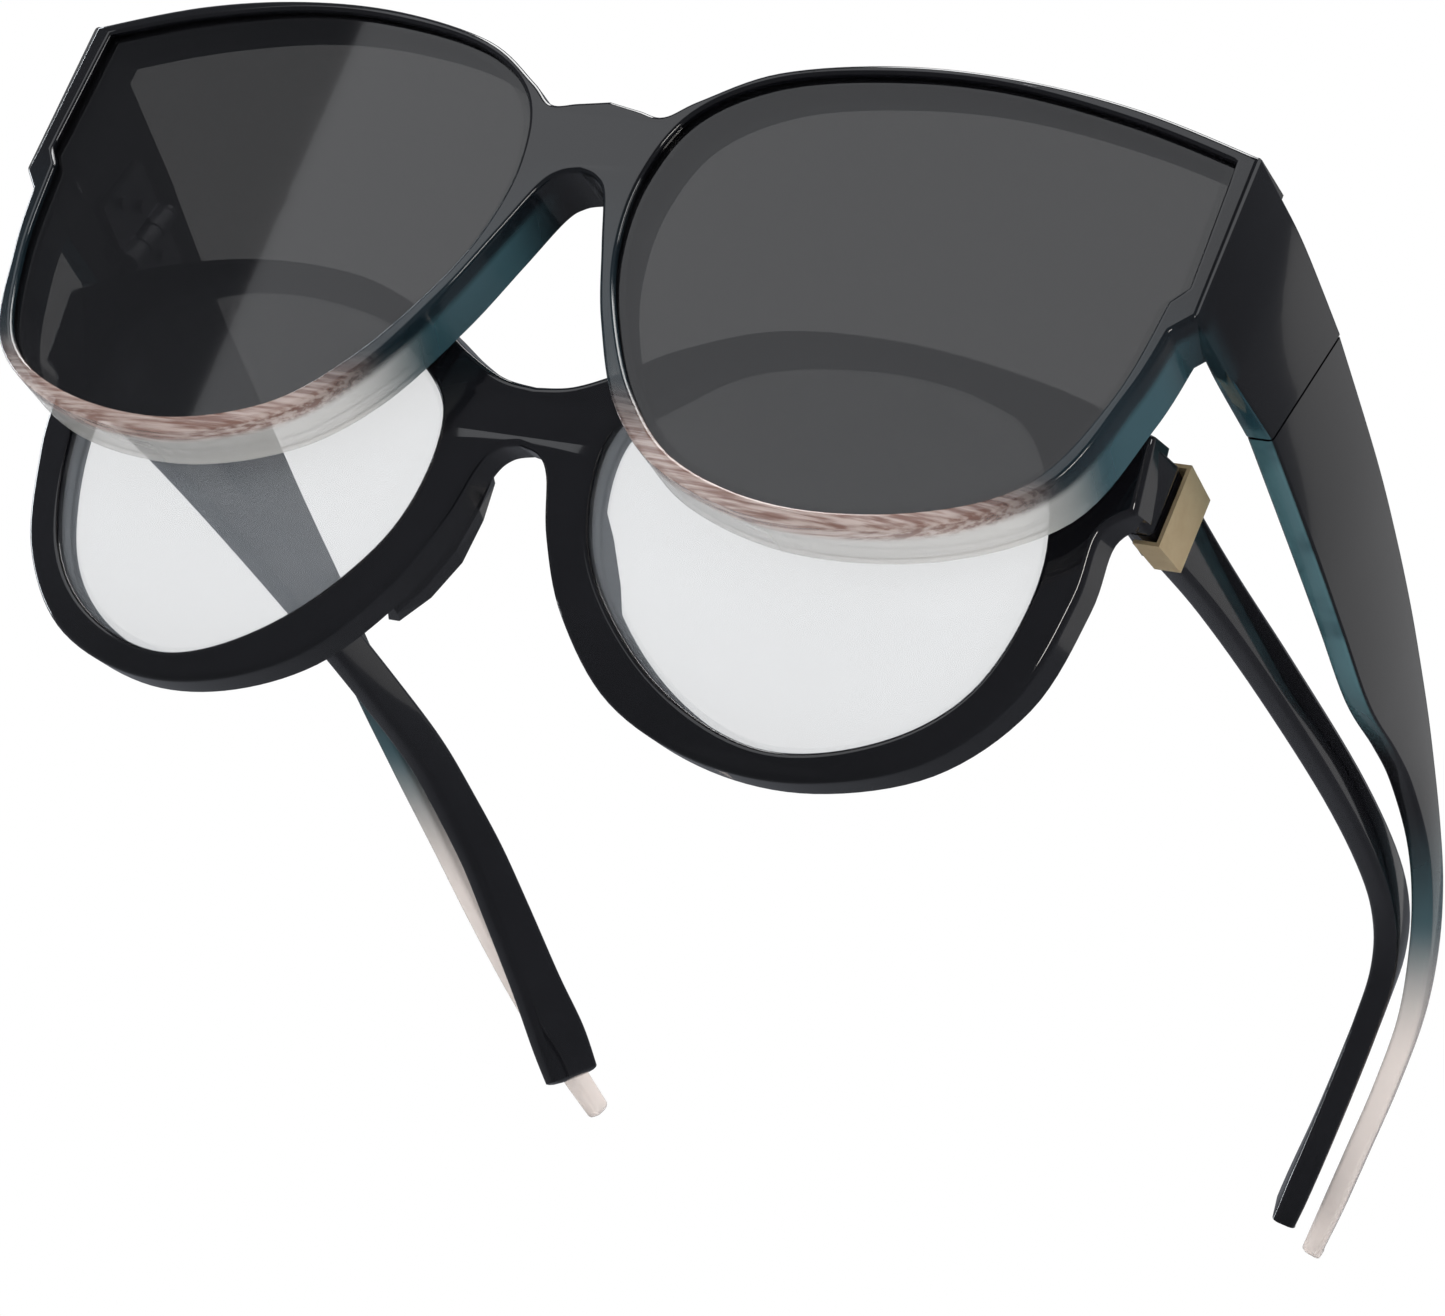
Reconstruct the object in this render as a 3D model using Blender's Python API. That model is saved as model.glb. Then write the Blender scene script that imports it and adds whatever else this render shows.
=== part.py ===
"""Fit-over sun glasses standing over a pair of spectacles, both with folding temples.

Each pair is drawn in its own level frame (X to the wearer's left-right line, +Y back along the
temples, +Z up, sizes in millimetres) and stood on the table by an empty, in metres.
"""
import math
import bpy
import bmesh
from mathutils import Matrix, Vector
from mathutils.geometry import tessellate_polygon

MM = 0.001
GAP = 0.3                      # free gap between touching pieces

# How the two pairs stand: both on their temple tips, the spectacles also on their rims.
SPEC_TILT = -5.4               # degrees about X, the spectacles' temples against the table
NEST_ANGLE = 16.5              # degrees between the two pairs' temples
SPEC_IN_SUN = (0.0, 14.4, -29.0)    # the spectacles' origin in the sun frame's own axes
STAND_SHIFT = (0.0, -66.16, 51.44)    # moves the set to the middle of its base, onto the table

# Sun front: a slightly wrapped plate that leans back at its foot, with a deep wall behind it.
SUN_WRAP = 434.0               # radius of the front seen from above
SUN_LEAN = 16.5                # degrees
SUN_LIP = 0.8                  # front lip over the lens
SUN_LENS_SEAT = 2.4            # depth of the groove that holds the lens
SUN_WALL_DEPTH = 7.0           # front face to the wall's back edge
SUN_SEAM_Y = 33.2              # side panel meets temple here
SUN_PIVOT_X = 72.3
SUN_PIVOT_Z = -15.0
SUN_OPENING = [                # lens opening, from the sharp top corner over the nose and round
    [(72.0, -8.5), (60.0, -6.7), (45.0, -5.7), (31.8, -6.7), (18.8, -9.6), (10.6, -15.0),
     (7.8, -23.0), (8.6, -31.5), (11.9, -39.3), (17.8, -47.7), (26.1, -54.1), (39.2, -56.6),
     (53.8, -54.1), (64.5, -47.9), (69.4, -36.7), (71.0, -25.2)],
    [(71.0, -25.2), (72.5, -23.2)],
    [(72.5, -23.2), (72.0, -8.5)],
]
SUN_OUTLINE = [                # right half of the front's edge, top middle to nose arch
    [(0.0, -14.6), (3.8, -15.2), (7.2, -15.6), (10.7, -13.1), (18.6, -8.6), (31.9, -5.6),
     (45.7, -4.6), (59.9, -5.2), (74.4, -7.4)],
    [(74.4, -7.4), (74.6, -26.1)],
    [(74.6, -26.1), (72.5, -28.4)],
    [(72.5, -28.4), (71.0, -36.2), (66.6, -48.0), (54.8, -55.6), (39.2, -58.4), (25.4, -55.8),
     (16.6, -49.6), (10.4, -40.0), (6.6, -31.6), (4.0, -25.6), (2.2, -23.8), (0.0, -23.2)],
]
SUN_TEMPLE = [                 # y, outer face x, top z, bottom z, thickness, along the temple
    (33.2, 77.0, -6.2, -23.3, 3.2), (50.0, 77.3, -6.4, -22.4, 3.2), (62.0, 76.9, -6.5, -21.2, 3.1),
    (74.0, 76.1, -6.7, -19.6, 3.0), (84.0, 75.2, -7.1, -16.2, 2.9), (92.0, 74.3, -7.5, -13.9, 2.8),
    (103.0, 73.0, -8.4, -12.5, 2.7), (112.0, 71.6, -9.3, -13.0, 2.6), (121.0, 69.5, -10.6, -14.2, 2.6),
    (130.0, 66.6, -12.7, -16.0, 2.5), (139.0, 62.6, -15.8, -18.9, 2.5), (148.0, 58.0, -18.9, -21.9, 2.5),
    (156.0, 53.8, -21.1, -23.9, 2.5), (162.0, 50.4, -22.7, -25.1, 2.3),
]

# Spectacles: a thicker front with a saddle bridge and clear lenses.
SPEC_WRAP = 284.0
SPEC_LEAN = 12.1
SPEC_LIP = 1.0
SPEC_LENS_SEAT = 2.4
SPEC_DEPTH = 4.0
SPEC_SEAM_Y = 16.4
SPEC_PIVOT_X = 65.0
SPEC_PIVOT_Y = 15.2
SPEC_PIVOT_Z = -10.4
SPEC_OPENING = [
    [(10.6, -18.7), (17.5, -11.6), (25.3, -7.5), (38.2, -5.4), (49.4, -6.2), (57.6, -10.3),
     (61.8, -21.7), (58.8, -35.4), (50.2, -43.8), (37.3, -47.3), (23.5, -42.3), (12.7, -31.3),
     (10.6, -18.7)],
]
SPEC_OUTLINE = [
    [(0.0, -14.2), (4.4, -13.6), (9.5, -11.4), (16.0, -7.8), (27.0, -4.0), (42.0, -2.7), (58.0, -3.9),
     (69.4, -6.4)],
    [(69.4, -6.4), (69.8, -14.6)],
    [(69.8, -14.6), (66.8, -17.6), (66.2, -25.0), (63.0, -36.2), (55.0, -45.2), (43.0, -49.9),
     (31.0, -50.0), (19.6, -46.0), (11.2, -38.0), (6.6, -30.0), (4.4, -23.6), (2.6, -21.4), (0.0, -20.7)],
]
SPEC_TEMPLE = [
    (16.4, 69.9, -6.1, -14.6, 3.4), (24.0, 70.0, -6.9, -13.9, 3.4), (36.0, 70.0, -7.4, -12.9, 3.3),
    (54.0, 69.8, -7.4, -12.4, 3.2), (76.0, 69.3, -7.6, -12.5, 3.1), (92.0, 68.3, -8.5, -13.4, 3.0),
    (102.0, 66.8, -10.0, -14.9, 3.0), (109.0, 64.8, -12.6, -17.6, 3.0), (115.0, 61.9, -16.2, -21.4, 3.0),
    (121.0, 58.6, -21.0, -26.6, 3.0), (127.0, 55.1, -26.2, -32.2, 3.0), (131.5, 52.3, -30.0, -36.8, 3.0),
    (134.6, 50.2, -33.4, -40.0, 2.8),
]

# Hinges: leaf plates with knuckles round one screw, riveted to the plastic.
BARREL_R = 1.2
BORE_R = 0.75
SCREW_R = 0.48
LEAF_THICK = 0.7
LEAF_NEAR = 0.45               # plate's inner side, measured out from the hinge axis
RIVET_R = 0.45
RIVET_HEAD_R = 0.85
# A leaf's plate side and run (right half seen from above), its length, its rivets' places along
# and up the plate, and how far their shanks reach from the plate's inner side.
TEMPLE_LEAF = ((1.0, 0.0), (0.0, 1.0), 8.0, ((3.7, 1.3), (6.3, -1.3)), 2.1)
SUN_FRONT_LEAF = ((1.0, 0.0), (0.0, -1.0), 8.0, ((3.7, 1.3), (6.3, -1.3)), 2.1)
SPEC_FRONT_LEAF = ((math.sin(0.229), -math.cos(0.229)), (-math.cos(0.229), -math.sin(0.229)),
                   5.5, ((2.8, 1.2), (4.4, -1.2)), 3.4)


# ---------------------------------------------------------------- outlines

def through(points, per):
    """Points along a smooth (Catmull-Rom) curve through the given ones, per steps a span."""
    if len(points) == 2:
        return [points[0]]
    ends = [points[0]] + list(points) + [points[-1]]
    out = []
    for a, b, c, d in zip(ends, ends[1:], ends[2:], ends[3:]):
        for i in range(per):
            t = i / per
            out.append(tuple(
                0.5 * (2 * q + (r - p) * t + (2 * p - 5 * q + 4 * r - s) * t * t
                       + (3 * q - p - 3 * r + s) * t ** 3)
                for p, q, r, s in zip(a, b, c, d)))
    return out


def closed_loop(sections, per):
    """One closed loop from sections that meet at corners."""
    loop = []
    for section in sections:
        if section[0] == section[-1]:
            ring = [section[-2]] + section + [section[1]]
            loop += through(ring, per)[per:-per]
        else:
            loop += through(section, per)
    return loop


def mirrored(loop):
    """The loop on the other side, with its direction kept."""
    return [(-x, z) for x, z in reversed(loop)]


def whole_outline(sections, per):
    """Right half run forward, then its mirror run back to the start."""
    half = closed_loop(sections, per) + [sections[-1][-1]]
    return half + [(-x, z) for x, z in reversed(half[1:-1])]


def signed_area(loop):
    return 0.5 * sum(a[0] * b[1] - b[0] * a[1] for a, b in zip(loop, loop[1:] + loop[:1]))


def grown(loop, distance):
    """The loop moved outwards by a distance, along the mean of its two edge normals."""
    side = 1.0 if signed_area(loop) > 0 else -1.0
    out = []
    for a, b, c in zip(loop[-1:] + loop[:-1], loop, loop[1:] + loop[:1]):
        u = Vector((b[0] - a[0], b[1] - a[1])).normalized()
        v = Vector((c[0] - b[0], c[1] - b[1])).normalized()
        normal = Vector((u.y + v.y, -u.x - v.x)) * side
        reach = distance / max(0.6, normal.length / 2.0)
        normal.normalize()
        out.append((b[0] + normal.x * reach, b[1] + normal.y * reach))
    return out


# ---------------------------------------------------------------- meshes and objects

def front_point(x, z, depth, wrap, lean):
    """A point on the wrapped, leaning front, a depth behind its face."""
    slope = math.radians(lean)
    y = x * x / (2.0 * wrap) - z * math.tan(slope)
    return (x, y + depth * math.cos(slope), z + depth * math.sin(slope))


def new_object(name, verts, faces, material, parent):
    """An object from points in millimetres, faces turned outwards, under its parent empty."""
    mesh = bpy.data.meshes.new(name)
    mesh.from_pydata([Vector(v) * MM for v in verts], [], faces)
    bm = bmesh.new()
    bm.from_mesh(mesh)
    bmesh.ops.remove_doubles(bm, verts=bm.verts, dist=0.00001)
    bmesh.ops.recalc_face_normals(bm, faces=bm.faces)
    bm.to_mesh(mesh)
    bm.free()
    mesh.shade_smooth()
    mesh.set_sharp_from_angle(angle=math.radians(35.0))
    mesh.materials.append(material)
    item = bpy.data.objects.new(name, mesh)
    bpy.context.collection.objects.link(item)
    item.parent = parent
    return item


def layered(levels):
    """Verts and faces of a solid with holes: each level is a list of loops, the first outside.

    Loops of one place are joined from level to level, and the first and last levels are filled.
    """
    verts, faces, starts = [], [], []
    for loops in levels:
        row = []
        for loop in loops:
            row.append(len(verts))
            verts.extend(loop)
        starts.append(row)
    for low, high, loops in zip(starts, starts[1:], levels):
        for a, b, loop in zip(low, high, loops):
            count = len(loop)
            for i in range(count):
                j = (i + 1) % count
                faces.append((a + i, a + j, b + j, b + i))
    for row, loops in ((starts[0], levels[0]), (starts[-1], levels[-1])):
        flat = [[Vector((p[0], p[2], 0.0)) for p in loop] for loop in loops]
        order = [s + i for s, loop in zip(row, loops) for i in range(len(loop))]
        faces += [tuple(order[i] for i in tri) for tri in tessellate_polygon(flat)]
    return verts, faces


def tube(sections):
    """Verts and faces of a solid whose cross-sections are loops of one length."""
    count = len(sections[0])
    verts = [p for loop in sections for p in loop]
    faces = [tuple(range(count)), tuple(range(len(verts) - count, len(verts)))]
    for k in range(len(sections) - 1):
        for i in range(count):
            j = (i + 1) % count
            a, b = k * count, (k + 1) * count
            faces.append((a + i, a + j, b + j, b + i))
    return verts, faces


def join_or_cut(item, others, operation):
    """Boolean with each other object, which is then removed."""
    for other in others:
        step = item.modifiers.new(operation.lower(), 'BOOLEAN')
        step.operation = operation
        step.object = other
        step.solver = 'EXACT'
    graph = bpy.context.evaluated_depsgraph_get()
    mesh = bpy.data.meshes.new_from_object(item.evaluated_get(graph))
    item.modifiers.clear()
    item.data = mesh
    for other in others:
        bpy.data.objects.remove(other)
    return item


def material(name, color, roughness, metallic=0.0, alpha=1.0):
    mat = bpy.data.materials.new(name)
    mat.use_nodes = True
    shader = mat.node_tree.nodes["Principled BSDF"]
    shader.inputs["Base Color"].default_value = (*color, 1.0)
    shader.inputs["Roughness"].default_value = roughness
    shader.inputs["Metallic"].default_value = metallic
    shader.inputs["Alpha"].default_value = alpha
    mat.diffuse_color = (*color, alpha)
    return mat


def empty(name, place, parent=None, tilt=0.0):
    """An empty at a place in millimetres, tilted about X."""
    item = bpy.data.objects.new(name, None)
    bpy.context.collection.objects.link(item)
    item.location = Vector(place) * MM
    item.rotation_euler = (math.radians(tilt), 0.0, 0.0)
    item.parent = parent
    return item


# ---------------------------------------------------------------- fronts and lenses

def lipped_front(name, opening, outline, wrap, lean, lip, seat, depth, mat, base):
    """The front plate: a lip in front, a groove for the lens, a wall behind."""
    def loops(depth_here, opening_grow, outline_grow):
        edge = grown(outline, outline_grow)
        right = grown(opening, opening_grow)
        return [[front_point(x, z, depth_here, wrap, lean) for x, z in loop]
                for loop in (edge, right, mirrored(right))]
    levels = [loops(0.0, 0.25, -0.25), loops(0.25, 0.0, 0.0), loops(lip, 0.0, 0.0),
              loops(lip, 0.55, 0.0), loops(lip + seat, 0.55, 0.0), loops(lip + seat, 0.0, 0.0),
              loops(depth, 0.1, -0.1)]
    return new_object(name, *layered(levels), mat, base)


def lens(name, opening, side, wrap, lean, lip, seat, mat, base):
    """A lens that fills the groove but for the gap, as rings that close on its middle."""
    edge = grown(opening, 0.55 - GAP)
    if side < 0:
        edge = mirrored(edge)
    middle = (sum(p[0] for p in edge) / len(edge), sum(p[1] for p in edge) / len(edge))
    front, back = lip + GAP, lip + seat - GAP
    steps = ((front, 0.5), (front, 1.0), (back, 1.0), (back, 0.5))
    rings = [[front_point(middle[0] + (x - middle[0]) * k, middle[1] + (z - middle[1]) * k, d, wrap, lean)
              for x, z in edge] for d, k in steps]
    verts, faces = tube(rings)
    count = len(edge)
    faces = faces[2:]
    for depth, first in ((front, 0), (back, 3 * count)):
        verts.append(front_point(middle[0], middle[1], depth, wrap, lean))
        tip = len(verts) - 1
        faces += [(tip, first + i, first + (i + 1) % count) for i in range(count)]
    return new_object(name, verts, faces, mat, base)


def box_section(outer, thick, top, bottom, side, ease):
    """Eight corners of an upright slab: outer face x, thickness inwards, eased edges."""
    inner = outer - thick
    ring = [(outer - ease, top), (outer, top - ease), (outer, bottom + ease), (outer - ease, bottom),
            (inner + ease, bottom), (inner, bottom + ease), (inner, top - ease), (inner + ease, top)]
    return [(side * x, z) for x, z in ring]


def side_panel(side, base, mat):
    """The sun front's wide side panel, from the front's corner back to the seam."""
    stations = [(0.0, 74.5, 1.1, -7.45, -26.05), (0.2, 75.3, 2.0, -7.1, -25.9),
                (0.5, 76.2, 2.6, -6.6, -25.4), (1.0, 77.0, 3.2, -6.2, -23.3)]
    sections = []
    for t, outer, thick, top, bottom in stations:
        ring = []
        for x, z in box_section(outer, thick, top, bottom, side, 0.35):
            face = front_point(74.5, z, 0.35, SUN_WRAP, SUN_LEAN)[1]
            ring.append((x, (1.0 - t) * face + t * (SUN_SEAM_Y - GAP / 2), z))
        sections.append(ring)
    return new_object("panel", *tube(sections), mat, base)


def temple(name, rows, seam, side, ease, mat, base):
    """A temple: one eased slab section for each row, square to its run seen from above."""
    sections = []
    for i, (y, outer, top, bottom, thick) in enumerate(rows):
        before, after = rows[max(i - 1, 0)], rows[min(i + 1, len(rows) - 1)]
        run = Vector((after[1] - before[1], after[0] - before[0])).normalized()
        if i == 0:
            run = Vector((0.0, 1.0))
            y = seam + GAP / 2
        rise = math.atan2(after[2] + after[3] - before[2] - before[3], 2 * (after[0] - before[0]))
        mid = (top + bottom) / 2
        ring = []
        for x, z in box_section(0.0, thick, top - mid, bottom - mid, 1.0, ease):
            back = -z * math.sin(rise) if i else 0.0
            ring.append((side * (outer + x * run.y + back * run.x), y - x * run.x + back * run.y,
                         mid + z * (math.cos(rise) if i else 1.0)))
        sections.append(ring)
    last = sections[-1]
    middle = [sum(p[k] for p in last) / len(last) for k in range(3)]
    y_push = 0.9
    sections.append([tuple(m + (p[k] - m) * 0.5 + (y_push if k == 1 else 0.0)
                           for k, m in enumerate(middle)) for p in last])
    return new_object(name, *tube(sections), mat, base)


# ---------------------------------------------------------------- hinges
# A hinge piece is drawn in its own axes: u from the hinge axis towards the plate it carries,
# v along that plate away from the axis, w up the axis.

def set_in(shape, pivot, run):
    """The shape's points placed at a pivot; run is the side of the face and its leaf's figures."""
    verts, faces = shape
    side, (u, v, *_) = run
    x, y, z = pivot
    return [(side * (x + a * u[0] + b * v[0]), y + a * u[1] + b * v[1], z + c) for a, b, c in verts], faces


def turned(radius, low, high, count=12):
    """A cylinder round the w axis between two heights."""
    return tube([[(radius * math.cos(math.tau * (i + 0.5) / count),
                   radius * math.sin(math.tau * (i + 0.5) / count), w) for i in range(count)]
                 for w in (low, high)])


def box(low, high):
    corners = [(a, b, c) for c in (low[2], high[2]) for a, b in
               ((low[0], low[1]), (high[0], low[1]), (high[0], high[1]), (low[0], high[1]))]
    return tube([corners[:4], corners[4:]])


def lying_pin(radius, near, far, place, count=10):
    """A round pin lying on u, from near to far."""
    return tube([[(u, place[0] + radius * math.cos(math.tau * i / count),
                   place[1] + radius * math.sin(math.tau * i / count)) for i in range(count)]
                 for u in (near, far)])


def hinge_leaf(name, pivot, run, knuckles, height, mat, base):
    """A leaf: a flat plate clear of the barrel, and a lugged knuckle for each height span."""
    def piece(shape):
        return new_object(name, *set_in(shape, pivot, run), mat, base)
    far = LEAF_NEAR + LEAF_THICK
    length, places = run[1][2:4]
    plate = piece(box((LEAF_NEAR, BARREL_R + 0.45, -height / 2), (far, length, height / 2)))
    parts = []
    for low, high in knuckles:
        parts.append(piece(turned(BARREL_R, low, high)))
        parts.append(piece(box((0.1, 0.0, low), (far, BARREL_R + 0.65, high))))
    join_or_cut(plate, parts, 'UNION')
    holes = [piece(turned(BORE_R, -height, height))]
    for place in places:
        holes.append(piece(lying_pin(RIVET_R + 0.25, LEAF_NEAR - 1, far + 1, place)))
    return join_or_cut(plate, holes, 'DIFFERENCE')


def hinge_screw(name, pivot, run, height, mat, base):
    """The screw through the knuckles: a round head on top, its shank and a slot."""
    def piece(shape):
        return new_object(name, *set_in(shape, pivot, run), mat, base)
    top = height / 2
    screw = piece(turned(SCREW_R, -top + 0.3, top + 0.5))
    join_or_cut(screw, [piece(turned(1.05, top + 0.25, top + 0.75))], 'UNION')
    return join_or_cut(screw, [piece(box((-2, -0.16, top + 0.55), (2, 0.16, top + 2)))], 'DIFFERENCE')


def rivets(name, word, pivot, run, plastic, mat, base):
    """Two headed rivets for one leaf, their shanks in blind holes drilled into the plastic."""
    cutters = []
    places, length = run[1][3:]
    for place_word, place in zip(("upper", "lower"), places):
        def piece(radius, near, far):
            shape = lying_pin(radius, LEAF_NEAR + near, LEAF_NEAR + far, place)
            return new_object(f"{name}_{word}_{place_word}", *set_in(shape, pivot, run), mat, base)
        pin = piece(RIVET_R, -0.5, length)
        join_or_cut(pin, [piece(RIVET_HEAD_R, -0.75, -0.25)], 'UNION')
        cutters.append(piece(RIVET_R + 0.25, LEAF_THICK, length + GAP))
    join_or_cut(plastic, cutters, 'DIFFERENCE')


def hinges(prefix, pivot, height, front, front_leaf, temples, mats, base):
    """Both hinges of one pair: leaves, screws and rivets, named for the pair."""
    third = height / 3
    outer_pair = [(-height / 2, -third / 2 - 0.12), (third / 2 + 0.12, height / 2)]
    middle = [(-third / 2 + 0.12, third / 2 - 0.12)]
    leaf_mat, screw_mat = mats
    for word, side in (("left", -1.0), ("right", 1.0)):
        to_front, to_back = (side, front_leaf), (side, TEMPLE_LEAF)
        for plastic in (front, temples[word]):
            room = turned(BARREL_R + GAP, -height / 2 - 0.4, height / 2 + 1.2)
            rooms = [new_object("room", *set_in(room, pivot, to_front), leaf_mat, base)]
            if plastic is front:
                pocket = box((LEAF_NEAR - 3, 0.0, -height / 2 - GAP),
                             (LEAF_NEAR + LEAF_THICK + GAP, front_leaf[2] + GAP, height / 2 + GAP))
                rooms.append(new_object("pocket", *set_in(pocket, pivot, to_front),
                                        leaf_mat, base))
            join_or_cut(plastic, rooms, 'DIFFERENCE')
        hinge_leaf(f"{prefix}_hinge_front_leaf_{word}", pivot, to_front, outer_pair,
                   height, leaf_mat, base)
        hinge_leaf(f"{prefix}_hinge_temple_leaf_{word}", pivot, to_back, middle, height, leaf_mat, base)
        hinge_screw(f"{prefix}_hinge_screw_{word}", pivot, to_back, height, screw_mat, base)
        rivets(f"{prefix}_temple_rivet", word, pivot, to_back, temples[word], screw_mat, base)
        rivets(f"{prefix}_front_rivet", word, pivot, to_front, front, screw_mat, base)


# ---------------------------------------------------------------- the two pairs

def sun_glasses(base):
    """The fit-over pair: deep-walled front with side panels, two dark lenses, two temples."""
    plastic = material("sun_plastic", (0.012, 0.018, 0.022), 0.12)
    dark = material("sun_lens", (0.06, 0.06, 0.065), 0.05, alpha=0.8)
    steel = material("sun_hinge_steel", (0.55, 0.56, 0.58), 0.3, 1.0)
    opening = closed_loop(SUN_OPENING, 3)
    front = lipped_front("sun_front", opening, whole_outline(SUN_OUTLINE, 3), SUN_WRAP, SUN_LEAN,
                         SUN_LIP, SUN_LENS_SEAT, SUN_WALL_DEPTH, plastic, base)
    join_or_cut(front, [side_panel(side, base, plastic) for side in (-1.0, 1.0)], 'UNION')
    temples = {}
    for word, side in (("left", -1.0), ("right", 1.0)):
        lens(f"sun_lens_{word}", opening, side, SUN_WRAP, SUN_LEAN, SUN_LIP, SUN_LENS_SEAT, dark, base)
        temples[word] = temple(f"sun_temple_{word}", SUN_TEMPLE, SUN_SEAM_Y, side, 0.5, plastic, base)
    hinges("sun", (SUN_PIVOT_X, SUN_SEAM_Y, SUN_PIVOT_Z), 8.4, front, SUN_FRONT_LEAF, temples, (steel, steel), base)


def nose_pad(name, side, mat, base):
    """A moulded pad behind the nose side of the rim: a thin leaf that flares back."""
    rows = [(-22.5, 5.6, 0.8, 3.2), (-26.0, 6.6, 1.6, 4.6), (-30.5, 8.2, 2.0, 5.4),
            (-35.0, 10.4, 1.8, 4.8), (-38.6, 12.6, 0.9, 3.4)]
    sections = []
    for z, x, thick, reach in rows:
        face = front_point(x, z, SPEC_DEPTH + GAP, SPEC_WRAP, SPEC_LEAN)
        ring = [(x, 0.0), (x + thick, 0.0), (x + thick + 0.6, reach * 0.6), (x + thick + 1.2, reach),
                (x + 0.7, reach), (x + 0.1, reach * 0.5)]
        sections.append([(side * px, face[1] + py, face[2]) for px, py in ring])
    return new_object(name, *tube(sections), mat, base)


def gold_trim(name, side, mat, base):
    """A bent metal cap over the outer, top and bottom faces of the temple's front end."""
    y_low, y_high = SPEC_SEAM_Y + 0.6, SPEC_SEAM_Y + 6.6
    profiles = []
    for y, top, bottom in ((y_low, -6.15, -14.6), (y_high, -6.68, -14.1)):
        out, inn, wall = 70.0 + GAP, 67.6, 0.45
        top, bottom = top + GAP, bottom - GAP
        ring = [(inn, top), (out, top), (out, bottom), (inn, bottom), (inn, bottom - wall),
                (out + wall, bottom - wall), (out + wall, top + wall), (inn, top + wall)]
        profiles.append([(side * x, y, z) for x, z in ring])
    return new_object(name, *tube(profiles), mat, base)


def spectacles(base):
    """The clear pair: saddle-bridged front, lenses, pads, temples with metal trims."""
    black = material("spec_acetate", (0.008, 0.008, 0.01), 0.1)
    clear = material("spec_lens", (0.93, 0.95, 0.97), 0.03, alpha=0.25)
    steel = material("spec_hinge_steel", (0.6, 0.6, 0.62), 0.28, 1.0)
    gold = material("trim_gold", (0.78, 0.55, 0.28), 0.18, 1.0)
    opening = closed_loop(SPEC_OPENING, 3)
    front = lipped_front("spec_front", opening, whole_outline(SPEC_OUTLINE, 3), SPEC_WRAP, SPEC_LEAN,
                         SPEC_LIP, SPEC_LENS_SEAT, SPEC_DEPTH, black, base)
    join_or_cut(front, [end_block(side, black, base) for side in (-1.0, 1.0)], 'UNION')
    temples = {}
    for word, side in (("left", -1.0), ("right", 1.0)):
        lens(f"spec_lens_{word}", opening, side, SPEC_WRAP, SPEC_LEAN, SPEC_LIP, SPEC_LENS_SEAT, clear, base)
        nose_pad(f"spec_nose_pad_{word}", side, black, base)
        temples[word] = temple(f"spec_temple_{word}", SPEC_TEMPLE, SPEC_SEAM_Y, side, 0.6, black, base)
        gold_trim(f"spec_trim_{word}", side, gold, base)
    hinges("spec", (SPEC_PIVOT_X, SPEC_PIVOT_Y, SPEC_PIVOT_Z), 6.0, front, SPEC_FRONT_LEAF, temples, (steel, steel), base)


def end_block(side, mat, base):
    """The spectacles' end piece, which turns the front's corner back to the seam."""
    sections = []
    for t, outer, thick, top, bottom in ((0.0, 69.3, 4.5, -6.8, -14.4), (1.0, 69.9, 3.4, -6.1, -14.6)):
        ring = []
        for x, z in box_section(outer, thick, top, bottom, side, 0.4):
            face = front_point(x, z, 0.8, SPEC_WRAP, SPEC_LEAN)[1]
            ring.append((x, (1.0 - t) * face + t * (SPEC_SEAM_Y - GAP / 2), z))
        sections.append(ring)
    return new_object("end_block", *tube(sections), mat, base)


def main():
    for item in list(bpy.data.objects):
        bpy.data.objects.remove(item)
    stand = empty("stand", STAND_SHIFT)
    spec_base = empty("spectacles_base", (0.0, 0.0, 0.0), stand, SPEC_TILT)
    tilt = Matrix.Rotation(math.radians(SPEC_TILT - NEST_ANGLE), 3, 'X')
    sun_place = -(tilt @ Vector(SPEC_IN_SUN))
    sun_base = empty("sun_base", sun_place, stand, SPEC_TILT - NEST_ANGLE)
    bpy.context.view_layer.update()
    spectacles(spec_base)
    sun_glasses(sun_base)


main()
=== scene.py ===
# %% [markdown]
# Sun glasses worn over spectacles. The outer pair has a deep, glossy shell that is black along its
# brow and turns clear and brownish at its foot and at the ends of its temples. Under it stands a
# plain black pair with clear lenses and gold trims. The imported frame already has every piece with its
# real size, so this lesson keeps the frame's places and draws the same pieces again with rounded
# edges and real finishes.

# %% Load the frame
import math
import bpy
import bmesh
import numpy as np
from mathutils import Matrix, Vector
from mathutils.geometry import tessellate_polygon


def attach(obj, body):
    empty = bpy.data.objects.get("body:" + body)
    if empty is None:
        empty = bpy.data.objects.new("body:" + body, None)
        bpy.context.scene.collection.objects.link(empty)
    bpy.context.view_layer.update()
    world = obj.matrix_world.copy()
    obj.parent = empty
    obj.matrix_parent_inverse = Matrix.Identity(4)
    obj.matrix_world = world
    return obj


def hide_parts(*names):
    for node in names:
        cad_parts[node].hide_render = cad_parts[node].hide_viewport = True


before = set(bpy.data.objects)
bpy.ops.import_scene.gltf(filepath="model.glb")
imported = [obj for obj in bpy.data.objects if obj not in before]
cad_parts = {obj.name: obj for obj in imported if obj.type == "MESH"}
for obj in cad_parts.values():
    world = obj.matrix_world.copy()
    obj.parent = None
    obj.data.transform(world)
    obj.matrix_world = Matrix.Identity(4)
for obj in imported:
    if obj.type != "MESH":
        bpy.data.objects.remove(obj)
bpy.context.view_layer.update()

# %% [markdown]
# An optician measures a pair of glasses level, with its temples straight back. Both pairs are drawn
# in such level axes, in millimetres: X to the side, Y back and Z up. They could be drawn straight on
# the table, but then every height would hide a tilt. So a last step leans each pair onto the table.
# The outer pair's temples drop more steeply than the inner pair's, because it lies on top of it.

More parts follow.
